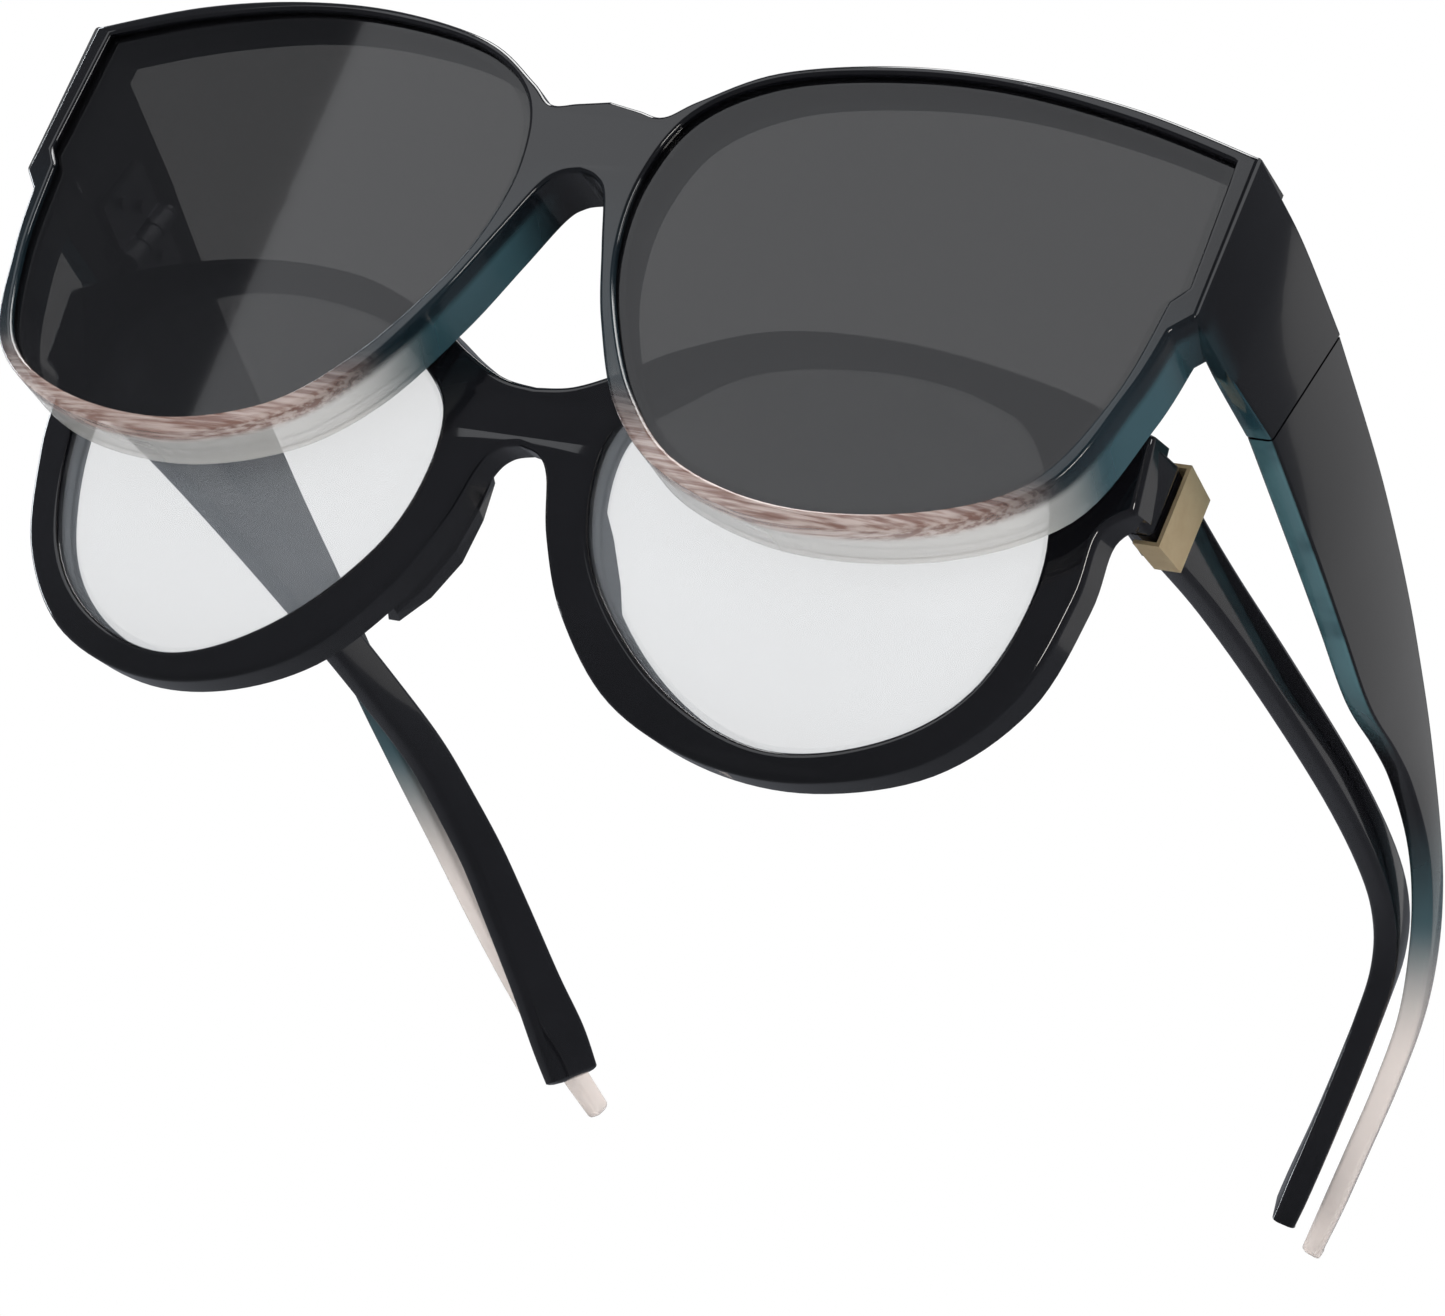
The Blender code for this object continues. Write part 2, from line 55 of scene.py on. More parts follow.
# %% The two pairs' own axes
MM = 0.001
SPEC_TILT = -5.4
NEST_ANGLE = 16.5
SUN_TILT = SPEC_TILT - NEST_ANGLE
STAND = np.array([0.0, -66.16, 51.44])
SPEC_IN_SUN = np.array([0.0, 14.4, -29.0])


def leaned(points, degrees, origin):
    """Points turned about X by an angle round an origin, then moved to the stand, in metres."""
    turn = math.radians(degrees)
    rotation = np.array([[1, 0, 0], [0, math.cos(turn), -math.sin(turn)],
                         [0, math.sin(turn), math.cos(turn)]])
    return ((np.asarray(points, float) - origin) @ rotation.T + STAND) * MM


def from_sun(points):
    """From the sun glasses' level axes to the table."""
    return leaned(points, SUN_TILT, SPEC_IN_SUN)


def from_spec(points):
    """From the spectacles' level axes to the table."""
    return leaned(points, SPEC_TILT, np.zeros(3))


# %% [markdown]
# The camera looks up at the fronts from a little below and from the right. A long lens keeps the
# far temples from shrinking. A camera can be aimed with a constraint, but this one is also rolled so
# that the fronts climb across the picture, so its own right and up directions are given instead.

# %% Camera
CAMERA_PLACE = (0.45553, -0.71137, -0.23675)
CAMERA_RIGHT = Vector((0.84393, 0.42488, 0.32750))
CAMERA_UP = Vector((-0.13216, -0.42702, 0.89453))
SENSOR_WIDTH = 36.0
FOCAL_LENGTH = 196.42
NEAREST = 0.01

camera = bpy.data.objects.new("camera", bpy.data.cameras.new("camera"))
bpy.context.collection.objects.link(camera)
camera_axes = Matrix((CAMERA_RIGHT, CAMERA_UP, CAMERA_RIGHT.cross(CAMERA_UP))).transposed()
camera.matrix_world = Matrix.Translation(CAMERA_PLACE) @ camera_axes.to_4x4()
camera.data.sensor_width = SENSOR_WIDTH
camera.data.lens = FOCAL_LENGTH
camera.data.clip_start = NEAREST
bpy.context.scene.camera = camera
bpy.context.scene.view_settings.view_transform = 'Standard'
print("camera stands", round(camera.location.length, 3), "m from the origin")

# %% [markdown]
# A finish is a network of nodes, and most of it is sums on positions: how high a point is, how far
# back it lies. Wiring each sum by hand hides the formula. So a node's output is wrapped in a small
# class, and a plain Python expression on it adds the Math nodes.

# %% Shader sockets as values


class Wire:
    """A node's output that can be added, taken away, multiplied and divided."""

    def __init__(self, tree, socket):
        self.tree = tree
        self.socket = socket

    def maths(self, operation, a, b):
        node = self.tree.nodes.new("ShaderNodeMath")
        node.operation = operation
        for entry, value in zip(node.inputs, (a, b)):
            if isinstance(value, Wire):
                self.tree.links.new(value.socket, entry)
            else:
                entry.default_value = value
        return Wire(self.tree, node.outputs[0])

    def __add__(self, other):
        return self.maths('ADD', self, other)

    def __radd__(self, other):
        return self.maths('ADD', other, self)

    def __sub__(self, other):
        return self.maths('SUBTRACT', self, other)

    def __rsub__(self, other):
        return self.maths('SUBTRACT', other, self)

    def __mul__(self, other):
        return self.maths('MULTIPLY', self, other)

    def __truediv__(self, other):
        return self.maths('DIVIDE', self, other)

    def at_least(self, other):
        return self.maths('MAXIMUM', self, other)


class Nodes:
    """A node tree, with one method that adds any node."""

    def __init__(self, tree):
        self.tree = tree

    def feed(self, item, values):
        """Set or link a node's inputs. A colour of three numbers gets a full alpha."""
        for key, value in values.items():
            entry = item.inputs[key.replace("_", " ") if isinstance(key, str) else key]
            if isinstance(value, Wire):
                self.tree.links.new(value.socket, entry)
            elif entry.type == 'RGBA':
                entry.default_value = (*value, 1.0)
            else:
                entry.default_value = value

    def node(self, kind, settings=None, sockets=None, out=0):
        item = self.tree.nodes.new(kind)
        for key, value in (settings or {}).items():
            setattr(item, key, value)
        self.feed(item, sockets or {})
        return Wire(self.tree, item.outputs[out])


# %% [markdown]
# Every finish here starts from the Principled shader, and the same few sums come back in each: the
# place of a point, a smooth step between two heights, a blend of two colours, a noise and a bump.

# %% Finishes


class Finish(Nodes):
    """A material on the Principled shader."""

    def __init__(self, name, **shader):
        self.material = bpy.data.materials.new(name)
        self.material.use_nodes = True
        super().__init__(self.material.node_tree)
        self.shader = self.tree.nodes["Principled BSDF"]
        self.feed(self.shader, shader)

    def spot(self):
        """The point's place on the object, in metres."""
        return self.node("ShaderNodeTexCoord", out="Object")

    def place(self):
        """The point's own X, Y and Z, in metres."""
        split = self.node("ShaderNodeSeparateXYZ", sockets={0: self.spot()}).socket.node
        return [Wire(self.tree, split.outputs[k]) for k in range(3)]

    def rise(self, value, low, high):
        """0 below low, 1 above high, and a smooth step between."""
        return self.node("ShaderNodeMapRange", {"interpolation_type": 'SMOOTHSTEP'},
                         {0: value, 1: low, 2: high, 3: 0.0, 4: 1.0})

    def blend(self, share, first, second):
        """The first colour turned into the second by a share."""
        return self.node("ShaderNodeMix", {"data_type": 'RGBA'}, {0: share, 6: first, 7: second}, out=2)

    def noise(self, scale, stretch=(1.0, 1.0, 1.0), detail=3.0):
        """Soft noise of a scale per metre, finer along an axis that has a larger stretch."""
        drawn = self.node("ShaderNodeMapping", sockets={"Vector": self.spot(), "Scale": stretch})
        return self.node("ShaderNodeTexNoise", sockets={"Vector": drawn, "Scale": scale,
                                                        "Detail": detail})

    def bump(self, height, strength, distance=0.0002):
        """Small unevenness from a height pattern."""
        node = self.node("ShaderNodeBump", sockets={"Height": height, "Strength": strength,
                                                    "Distance": distance})
        self.feed(self.shader, {"Normal": node})


# %% [markdown]
# Black gloss is drawn by what it mirrors. In a white room it would turn grey all over, so the room
# is white only to the eye and through clear plastic, and dim in the gloss.

# %% Room
ROOM_WHITE = (1.0, 1.0, 1.0)
ROOM_DIM = (0.86, 0.9, 1.0)
DIM_STRENGTH = 0.16

world = bpy.data.worlds.new("room")
bpy.context.scene.world = world
world.use_nodes = True
room = Nodes(world.node_tree)
room.tree.nodes.clear()
eye_ray = room.node("ShaderNodeLightPath", out="Is Camera Ray")
clear_ray = room.node("ShaderNodeLightPath", out="Is Transmission Ray")
pale = room.node("ShaderNodeBackground", sockets={0: ROOM_WHITE, 1: 1.0})
dim = room.node("ShaderNodeBackground", sockets={0: ROOM_DIM, 1: DIM_STRENGTH})
walls = room.node("ShaderNodeMixShader", sockets={0: eye_ray.at_least(clear_ray), 1: dim, 2: pale})
room.feed(room.tree.nodes.new("ShaderNodeOutputWorld"), {0: walls})

# %% [markdown]
# A pale floor lies under the tips. The camera is below it, so a plain floor would hide the glasses.
# It is see-through from below and in the gloss, and solid from above, where it catches shadows.

# %% Floor
FLOOR_REACH = 3.0
FLOOR_LEVEL = -0.0004

floor_mesh = bpy.data.meshes.new("floor")
corners = [(x * FLOOR_REACH, y * FLOOR_REACH, FLOOR_LEVEL) for x, y in ((-1, -1), (1, -1), (1, 1), (-1, 1))]
floor_mesh.from_pydata(corners, [], [(0, 1, 2, 3)])
floor = bpy.data.objects.new("floor", floor_mesh)
bpy.context.collection.objects.link(floor)
paper = Finish("pale_paper", Base_Color=(0.86, 0.86, 0.86), Roughness=0.7)
below = paper.node("ShaderNodeNewGeometry", out="Backfacing")
gloss_ray = paper.node("ShaderNodeLightPath", out="Is Glossy Ray")
solid = Wire(paper.tree, paper.shader.outputs[0])
unseen = paper.node("ShaderNodeBsdfTransparent")
surface = paper.node("ShaderNodeMixShader", sockets={0: below.at_least(gloss_ray), 1: solid, 2: unseen})
paper.feed(paper.tree.nodes["Material Output"], {0: surface})
floor_mesh.materials.append(paper.material)

# %% [markdown]
# Large soft lamps draw the edges. The front card stands where both dark lenses mirror it, and stops
# short of the left one's outer third. The side card lights the gold trim. The panels and the glint
# leave thin bright lines along the rims.

# %% Lamps
AIM = Vector((0.0, -0.03, 0.04))
NEUTRAL = (1.0, 1.0, 1.0)
COOL = (0.9, 0.95, 1.0)
# place, width, height, watts, colour
LAMPS = {
    "overhead": ((0.0, -0.15, 0.9), 0.9, 0.5, 10.0, NEUTRAL),
    "left_panel": ((-1.0, 0.1, 0.30), 0.15, 0.9, 4.0, COOL),
    "side_card": ((0.42, 0.88, 0.36), 0.55, 0.5, 0.24, (1.0, 0.98, 0.95)),
    "right_panel": ((1.1, -0.35, 0.75), 0.20, 0.6, 2.5, NEUTRAL),
    "front_card": ((-0.428, -0.802, 0.509), 0.66, 0.60, 1.15, (0.95, 0.97, 1.0)),
    "trim_glint": ((0.75, -0.75, 0.05), 0.10, 0.30, 1.6, (1.0, 0.97, 0.92))}


def lamp(name, place, width, height, watts, colour):
    """A soft rectangular lamp at a place, facing the glasses."""
    light = bpy.data.lights.new(name, 'AREA')
    light.shape = 'RECTANGLE'
    light.size = width
    light.size_y = height
    light.energy = watts
    light.color = colour
    item = bpy.data.objects.new(name, light)
    bpy.context.collection.objects.link(item)
    item.location = place
    item.rotation_euler = (AIM - Vector(place)).to_track_quat('-Z', 'Y').to_euler()


for name, setting in LAMPS.items():
    lamp(name, *setting)
print("lamps", list(LAMPS))

# %% [markdown]
# A moulder draws a front as a few measured points with fair curves between them, and a sharp corner
# only where the mould has one. A circle or an ellipse can't follow such a rim. Catmull-Rom curves
# run through the points themselves, so each point can be read off the real front. A closed outline
# is grown or shrunk along its edge normals to round the edges and to cut the lens groove.

# %% Curves


def through(points, per):
    """Catmull-Rom: each span blends its two ends and their neighbours by cubic weights of t."""
    p = np.asarray(points, float)
    if len(p) == 2:
        t = np.arange(per)[:, None] / per
        return p[0] + (p[1] - p[0]) * t
    q = np.vstack([p[:1], p, p[-1:]])
    a, b, c, d = (q[k:len(q) - 3 + k][:, None, :] for k in range(4))
    t = (np.arange(per) / per)[None, :, None]
    curve = 0.5 * (2 * b + (c - a) * t + (2 * a - 5 * b + 4 * c - d) * t ** 2
                   + (3 * b - a - 3 * c + d) * t ** 3)
    return curve.reshape(-1, p.shape[1])


def ring_through(points, per):
    """The same curve closed on itself."""
    p = np.asarray(points, float)
    return through(np.vstack([p[-1:], p, p[:2]]), per)[per:-per]


def half_outline(sections, per):
    """Sections of the right half from the top middle down to the foot, then their mirror."""
    half = np.vstack([through(s, per) for s in sections] + [np.array([sections[-1][-1]], float)])
    other = half[1:-1][::-1] * (-1.0, 1.0)
    return np.vstack([half, other])


def mirrored(loop):
    """The same loop on the other side of the middle, run the same way round."""
    return loop[::-1] * (-1.0, 1.0)


# %% Growing and bending a loop
BLUNTEST = 0.75


def grown(loop, distance):
    """Each point moves along the mean of its two edges' outward normals by the distance."""
    area = 0.5 * np.sum(loop[:, 0] * np.roll(loop[:, 1], -1) - np.roll(loop[:, 0], -1) * loop[:, 1])
    into = loop - np.roll(loop, 1, axis=0)
    out_of = np.roll(loop, -1, axis=0) - loop
    into /= np.linalg.norm(into, axis=1)[:, None]
    out_of /= np.linalg.norm(out_of, axis=1)[:, None]
    along = into + out_of
    normal = np.stack([along[:, 1], -along[:, 0]], axis=1) * np.sign(area)
    length = np.linalg.norm(normal, axis=1)[:, None]
    return loop + normal / length * distance / np.maximum(BLUNTEST, length / 2)


def front_surface(loop, depth, wrap, lean):
    """y = x^2 / (2 wrap) - z tan(lean), then moved back square to the lean by the depth."""
    slope = math.radians(lean)
    x, z = loop[:, 0], loop[:, 1]
    return np.stack([x, x * x / (2 * wrap) - z * math.tan(slope) + depth * math.cos(slope),
                     z + depth * math.sin(slope)], axis=1)


# %% [markdown]
# The sun front is a wide butterfly shape with a straight brow, a notch at the outer corner under the
# side panel and a keyhole bridge. The spectacles' front is rounder, with a saddle bridge.

# %% Outlines
SUN_OPENING = np.vstack([
    through([(72.0, -8.5), (60.0, -6.7), (45.0, -5.7), (31.8, -6.7), (18.8, -9.6), (10.6, -15.0),
             (7.8, -23.0), (8.6, -31.5), (11.9, -39.3), (17.8, -47.7), (26.1, -54.1), (39.2, -56.6),
             (53.8, -54.1), (64.5, -47.9), (69.4, -36.7), (71.0, -25.2)], 8),
    through([(71.0, -25.2), (72.5, -23.2)], 3),
    through([(72.5, -23.2), (72.0, -8.5)], 6)])
SUN_OUTLINE = half_outline([
    [(0.0, -14.6), (3.8, -15.2), (7.2, -15.6), (10.7, -13.1), (18.6, -8.6), (31.9, -5.6),
     (45.7, -4.6), (59.9, -5.2), (74.4, -7.4)],
    [(74.4, -7.4), (74.6, -26.1)],
    [(74.6, -26.1), (72.5, -28.4)],
    [(72.5, -28.4), (71.0, -36.2), (66.6, -48.0), (54.8, -55.6), (39.2, -58.4), (25.4, -55.8),
     (16.6, -49.6), (10.4, -40.0), (6.6, -31.6), (4.0, -25.6), (2.2, -23.8), (0.0, -23.2)]], 8)
SPEC_OPENING = ring_through(
    [(10.6, -18.7), (17.5, -11.6), (25.3, -7.5), (38.2, -5.4), (49.4, -6.2), (57.6, -10.3),
     (61.8, -21.7), (58.8, -35.4), (50.2, -43.8), (37.3, -47.3), (23.5, -42.3), (12.7, -31.3)], 10)
SPEC_OUTLINE = half_outline([
    [(0.0, -14.2), (4.4, -13.6), (9.5, -11.4), (16.0, -7.8), (27.0, -4.0), (42.0, -2.7), (58.0, -3.9),
     (69.4, -6.4)],
    [(69.4, -6.4), (69.8, -14.6)],
    [(69.8, -14.6), (66.8, -17.6), (66.2, -25.0), (63.0, -36.2), (55.0, -45.2), (43.0, -49.9),
     (31.0, -50.0), (19.6, -46.0), (11.2, -38.0), (6.6, -30.0), (4.4, -23.6), (2.6, -21.4),
     (0.0, -20.7)]], 8)
# radius of the wrap round the face, and the lean of the front in degrees
SUN_SHAPE = (434.0, 16.5)
SPEC_SHAPE = (284.0, 12.1)
# lip before the lens, width of its seat, depth of the whole front, and radius of the soft edges
SUN_MOULD = (0.8, 2.4, 7.0, 0.45)
SPEC_MOULD = (1.0, 2.4, 4.0, 0.6)
print("outline points", len(SUN_OUTLINE), len(SUN_OPENING), len(SPEC_OUTLINE), len(SPEC_OPENING))

# %% [markdown]
# A mesh is made from whole arrays: rings of equal count joined side by side, and flat fills at the
# ends. Boolean cuts could make the openings, but they leave ragged faces that spoil a gloss. Shading
# is smooth, with a crease only where two faces really meet at an edge.

# %% Meshes from arrays
CREASE = 40.0
MERGE_WITHIN = 0.000002


def new_piece(name, points, faces, finish, body, nodes):
    """A closed piece at the origin, with its place in its mesh, riding on its body."""
    mesh = bpy.data.meshes.new(name)
    mesh.from_pydata(points.tolist(), [], [tuple(int(v) for v in f) for f in faces])
    form = bmesh.new()
    form.from_mesh(mesh)
    bmesh.ops.remove_doubles(form, verts=form.verts, dist=MERGE_WITHIN)
    bmesh.ops.recalc_face_normals(form, faces=form.faces)
    form.to_mesh(mesh)
    form.free()
    mesh.shade_smooth()
    mesh.set_sharp_from_angle(angle=math.radians(CREASE))
    mesh.materials.append(finish.material)
    piece = bpy.data.objects.new(name, mesh)
    bpy.context.collection.objects.link(piece)
    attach(piece, body)
    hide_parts(*nodes)
    print(name, len(mesh.polygons), "faces")
    return piece


def grid_faces(rows, count):
    """Quads between neighbouring closed rings of one count."""
    i = np.arange(rows - 1)[:, None] * count
    j = np.arange(count)[None, :]
    k = (j + 1) % count
    return np.stack([i + j, i + k, i + count + k, i + count + j], axis=-1).reshape(-1, 4)


def plate_with_holes(levels):
    """Loops of one place joined level to level; the first and last levels are filled."""
    counts = [len(loop) for loop in levels[0]]
    within = np.cumsum([0] + counts[:-1])
    starts = [within + row * sum(counts) for row in range(len(levels))]
    faces = []
    for low, high in zip(starts, starts[1:]):
        for a, b, count in zip(low, high, counts):
            j = np.arange(count)
            k = (j + 1) % count
            faces += np.stack([a + j, a + k, b + k, b + j], axis=1).tolist()
    for row, loops in ((starts[0], levels[0]), (starts[-1], levels[-1])):
        flat = [[Vector((p[0], p[2], 0.0)) for p in loop] for loop in loops]
        order = np.concatenate([s + np.arange(count) for s, count in zip(row, counts)])
        faces += [tuple(order[list(tri)]) for tri in tessellate_polygon(flat)]
    return np.vstack([loop for loops in levels for loop in loops]), faces


# %% [markdown]
# The clear plastic of the outer pair is dyed before it is cut: black over the brow, a deep sea green
# below it, and a faint brown-pink at the foot. On the temples the dye runs out towards the tips in
# the same way. A painted picture could show this, but a formula on the point's own height and
# distance back fits every view. The dye feeds the colour and the opacity together.

# %% The dye's colours, with a painted glow and a painted highlight, and where each gives way to the next
DEEP_BLACK = (0.002, 0.002, 0.003)
SOFT_BLACK = (0.003, 0.003, 0.004)
SEA_ON_FACE = (0.008, 0.018, 0.024)
SEA_ON_WALL = (0.04, 0.095, 0.115)
SEA_ON_TEMPLE = (0.05, 0.10, 0.115)
# painted glow: cloudy sea green on faces that look down, standing for light through the thin plastic
GLOW_BELOW_DARK = (0.012, 0.040, 0.052)
GLOW_BELOW_PALE = (0.070, 0.150, 0.170)
BLUSH_DARK = (0.26, 0.14, 0.11)
# painted highlight: the pale stripes in the blush along the foot
STREAK_HIGHLIGHT = (0.62, 0.50, 0.45)
CLEAR_WALL = (0.74, 0.72, 0.68)
CLEAR_TIP = (0.90, 0.80, 0.74)
# metres below the level line of the brow
FACE_TO_SEA = (0.020, 0.042)
FACE_TO_BLUSH = (0.046, 0.055)
WALL_TO_SEA = (0.023, 0.032)
WALL_TO_CLEAR = (0.041, 0.051)
FOOT_THINS = (0.036, 0.052)
# metres back from the front's face: past the rounded edge, and past the whole front
PAST_FACE = (0.0016, 0.0030)
PAST_FRONT = (0.0085, 0.0095)
# metres back along the temples
TEMPLE_TO_BLACK = (0.066, 0.088)
TEMPLE_TO_SEA = (0.096, 0.122)
TEMPLE_TO_CLEAR = (0.114, 0.136)
TIP_THINS = (0.110, 0.140)
# share of see-through: the foot's face, how much more its wall has, and the temple's tip
FACE_CLEARS = 0.22
WALL_CLEARS = 0.36
TIP_CLEARS = 0.35

# %% The dye's own axes


def dyed_plastic(name):
    """The finish, X, and the height and distance back in the sun glasses' level axes, in metres."""
    finish = Finish(name, Roughness=0.12, IOR=1.5, Coat_Weight=0.6, Coat_Roughness=0.04)
    x, y, z = finish.place()
    lean = math.radians(SUN_TILT)
    back_by, up_by = STAND[1] * MM, STAND[2] * MM
    height = z * math.cos(lean) - y * math.sin(lean)
    reach = y * math.cos(lean) + z * math.sin(lean)
    height = height + (SPEC_IN_SUN[2] * MM - up_by * math.cos(lean) + back_by * math.sin(lean))
    reach = reach + (SPEC_IN_SUN[1] * MM - back_by * math.cos(lean) - up_by * math.sin(lean))
    return finish, x, height, reach


def underside_painted_glow(finish):
    """Black, with a painted glow of cloudy sea green where a face looks down, for light coming through its
    thin edge.
    """
    normal = finish.node("ShaderNodeNewGeometry", out="Normal")
    upward = finish.node("ShaderNodeSeparateXYZ", sockets={0: normal}, out=2)
    cloud = finish.rise(finish.noise(90.0), 0.36, 0.62)
    glow = finish.blend(cloud, GLOW_BELOW_DARK, GLOW_BELOW_PALE)
    # Painted glow: faces that look down turn from black to cloudy sea green, as if light shone through the
    # thin plastic.
    return finish.blend(finish.rise(upward * -1.0, 0.55, 0.85), SOFT_BLACK, glow)


# %% [markdown]
# On the front, the face goes from black through sea green to a streaky blush, and the wall behind it
# from green to clear. The streaks are a noise that is stretched along the foot. They mix the dye's own
# brown blush with pale stripes that are painted highlights. How far a point lies behind the face comes
# from the same surface formula that shapes the front.

# %% Dyed front and temples


def sun_front_finish():
    """Face colours by height, then wall colours behind the face, then the side panels: black, with a
    painted glow on faces that look down.
    """
    finish, x, height, reach = dyed_plastic("dyed_shell")
    foot = height * -1.0
    wrap, lean = SUN_SHAPE[0] * MM, math.radians(SUN_SHAPE[1])
    depth = (reach - x * x / (2 * wrap) + height * math.tan(lean)) * math.cos(lean)
    past_face = finish.rise(depth, *PAST_FACE)
    past_front = finish.rise(depth, *PAST_FRONT)
    # The streaks mix the dye's brown blush with pale stripes that are painted highlights.
    streak = finish.noise(1.0, stretch=(70.0, 1500.0, 1900.0), detail=4.0)
    blush_and_highlight = finish.blend(finish.rise(streak, 0.35, 0.65), BLUSH_DARK, STREAK_HIGHLIGHT)
    face = finish.blend(finish.rise(foot, *FACE_TO_SEA), DEEP_BLACK, SEA_ON_FACE)
    face = finish.blend(finish.rise(foot, *FACE_TO_BLUSH), face, blush_and_highlight)
    wall = finish.blend(finish.rise(foot, *WALL_TO_SEA), DEEP_BLACK, SEA_ON_WALL)
    wall = finish.blend(finish.rise(foot, *WALL_TO_CLEAR), wall, CLEAR_WALL)
    tone = finish.blend(past_front, finish.blend(past_face, face, wall), underside_painted_glow(finish))
    thin = finish.rise(foot, *FOOT_THINS)
    opening = thin * (FACE_CLEARS + past_face * WALL_CLEARS) * (1.0 - past_front)
    finish.feed(finish.shader, {"Base Color": tone, "Alpha": 1.0 - opening})
    finish.bump(finish.noise(900.0), 0.02)
    return finish


def sun_temple_finish():
    """Black with a painted sea-green glow on its underside, then black, then sea green, then clear at the
    tip.
    """
    finish, _, _, reach = dyed_plastic("dyed_temple")
    tone = finish.blend(finish.rise(reach, *TEMPLE_TO_BLACK), underside_painted_glow(finish), SOFT_BLACK)
    tone = finish.blend(finish.rise(reach, *TEMPLE_TO_SEA), tone, SEA_ON_TEMPLE)
    tone = finish.blend(finish.rise(reach, *TEMPLE_TO_CLEAR), tone, CLEAR_TIP)
    finish.feed(finish.shader, {"Base Color": tone,
                                "Alpha": 1.0 - finish.rise(reach, *TIP_THINS) * TIP_CLEARS})
    finish.bump(finish.noise(900.0), 0.02)
    return finish


shell = sun_front_finish()
temple_dye = sun_temple_finish()
print("dyed plastics", shell.material.name, temple_dye.material.name)

# %% [markdown]
# The spectacles are cut from polished black sheet. A flat black would look like a hole, so the
# colour has a faint cloud in it, and a trace of bump breaks the gloss as hand polishing does.

# %% Polished black
BLACK_SHEET_PALE = (0.008, 0.008, 0.010)


def acetate_finish():
    finish = Finish("black_acetate", Roughness=0.1, IOR=1.5, Coat_Weight=0.5, Coat_Roughness=0.03)
    finish.feed(finish.shader, {"Base Color": finish.blend(finish.noise(140.0), SOFT_BLACK,
                                                           BLACK_SHEET_PALE)})
    finish.bump(finish.noise(1100.0), 0.015)
    return finish


acetate = acetate_finish()
print("black sheet", acetate.material.name)

# %% [markdown]
# The dark lenses are smoke grey: light crosses two faces, and only a few hundredths of it comes
# through. The clear ones only show their coated gloss. A glass shader would bend and darken the
# light at every edge. Both lenses are thin, so opacity stands in for refraction. A ring near the
# edge is a little denser, where the lens sits over its own groove.

# %% Lenses and metals
SMOKE = (0.006, 0.006, 0.007)
COATING = (0.62, 0.66, 0.70)
LENS_HEIGHTS = (0.02, 0.075)
UPPER_SHADE = 0.6
GRAIN = 0.12


def lens_finish(name, tone, opacity, rim_opacity, roughness):
    """A tone that deepens upwards, and an opacity that is higher where the rim attribute is 1."""
    finish = Finish(name, Roughness=roughness, IOR=1.5, Coat_Weight=0.4, Coat_Roughness=0.02)
    upper = finish.rise(finish.place()[2], *LENS_HEIGHTS)
    deep = tuple(c * UPPER_SHADE for c in tone)
    rim = finish.node("ShaderNodeAttribute", {"attribute_name": "rim"}, out="Fac")
    band = finish.rise(rim, 0.35, 0.65)
    finish.feed(finish.shader, {"Base Color": finish.blend(upper, tone, deep),
                                "Alpha": opacity + band * (rim_opacity - opacity)})
    return finish


def metal_finish(name, tone, dark, roughness, metal=1.0):
    """Metal with a fine cloud in its colour and its polish."""
    finish = Finish(name, Metallic=metal)
    cloud = finish.noise(700.0)
    finish.feed(finish.shader, {"Base Color": finish.blend(cloud, tone, dark),
                                "Roughness": roughness + cloud * GRAIN})
    finish.bump(finish.noise(1600.0), 0.05)
    return finish


smoke = lens_finish("smoke_lens", SMOKE, 0.81, 0.87, 0.05)
coated = lens_finish("clear_lens", COATING, 0.20, 0.26, 0.02)
steel = metal_finish("hinge_steel", (0.42, 0.42, 0.44), (0.28, 0.28, 0.30), 0.26)
gold = metal_finish("gold_trim", (1.0, 0.80, 0.50), (0.86, 0.64, 0.36), 0.30, 0.8)
print("lenses and metals", [wear.material.name for wear in (smoke, coated, steel, gold)])

# %% [markdown]
# Each front is one moulding. Its face carries a rounded edge outside and round both openings, a
# thin lip stands before the lens, a groove holds it, and a wall runs back behind it. A bevel on a
# cut plate would round every edge alike, so the edge is drawn as a list of levels instead: how deep
# each lies, and how much the openings and the outline grow there.

# %% Fronts
ARC = np.radians([0, 25, 50, 75, 90])
FLAT_INSET = 0.07
GROOVE = 0.5
STEP = 0.02


def rounded_levels(lip, seat, depth, soft):
    """(depth, growth of the openings, growth of the outline) from the face to the back."""
    inset = soft + FLAT_INSET
    face = [(soft * (1 - math.cos(a)), soft * (1 - math.sin(a)), -soft * (1 - math.sin(a))) for a in ARC]
    groove = [(lip, 0.0, 0.0), (lip + STEP, GROOVE, 0.0), (lip + seat, GROOVE, 0.0),
              (lip + seat + STEP, 0.0, 0.0)]
    rear = [(depth - soft * math.cos(a), soft * (1 - math.cos(b)), -soft * (1 - math.cos(b)))
            for a, b in zip(ARC[::-1], ARC)]
    return [(0.0, inset, -inset)] + face + groove + rear + [(depth, inset, -inset)]


def front_piece(name, opening, outline, shape, mould, to_table, finish, body, node):
    """Outline and two openings on the front surface, level behind level."""
    levels = []
    for depth, inner, outer in rounded_levels(*mould):
        hole = grown(opening, inner)
        levels.append([front_surface(loop, depth, *shape)
                       for loop in (grown(outline, outer), hole, mirrored(hole))])
    points, faces = plate_with_holes(levels)
    new_piece(name, to_table(points), faces, finish, body, (node,))


front_piece("sun_shell", SUN_OPENING, SUN_OUTLINE, SUN_SHAPE, SUN_MOULD, from_sun, shell,
            "sun_front", "sun_front")
front_piece("spectacle_front", SPEC_OPENING, SPEC_OUTLINE, SPEC_SHAPE, SPEC_MOULD, from_spec,
            acetate, "spectacles_front", "spec_front")

# %% [markdown]
# Side panels, end pieces and temples are bars. A temple could be a curve with a bevel, but its
# height and thickness change on their own, so an eased slab section is carried back along a few
# stations, which a smooth curve joins.

# %% Bars
CORNER_TURNS = 4


